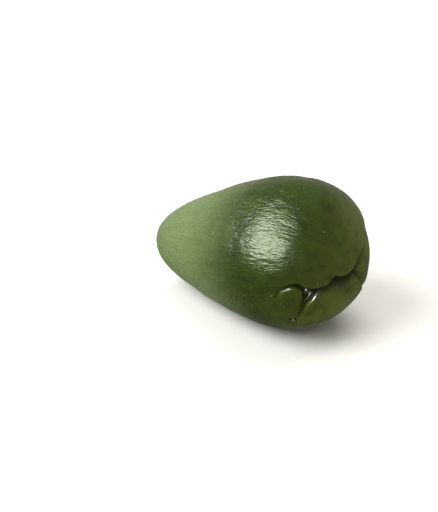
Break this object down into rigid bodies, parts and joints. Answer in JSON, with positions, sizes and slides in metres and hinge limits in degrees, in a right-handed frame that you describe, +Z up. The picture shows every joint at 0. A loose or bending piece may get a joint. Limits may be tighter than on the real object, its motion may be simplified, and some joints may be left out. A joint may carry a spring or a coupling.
{
  "type": "chayote squash",
  "caption": "Whole dark green chayote squash lying on its side, pear-shaped, with a deeply folded blossom end and a pale tapering neck.",
  "frame": {"origin": "centre of the bounding box at its base, on the surface that the fruit rests on", "axes": "+X along the fruit's length from the stem end to the folded blossom end, +Z up as it lies"},
  "size_m": [0.1276, 0.0842, 0.0825],
  "materials": {
    "chayote_skin": "waxy dark green skin with fine lengthwise wrinkles, paler towards the stem end"
  },
  "bodies": {
    "root": {"chayote_fruit": "chayote_skin"}
  },
  "joints": []
}
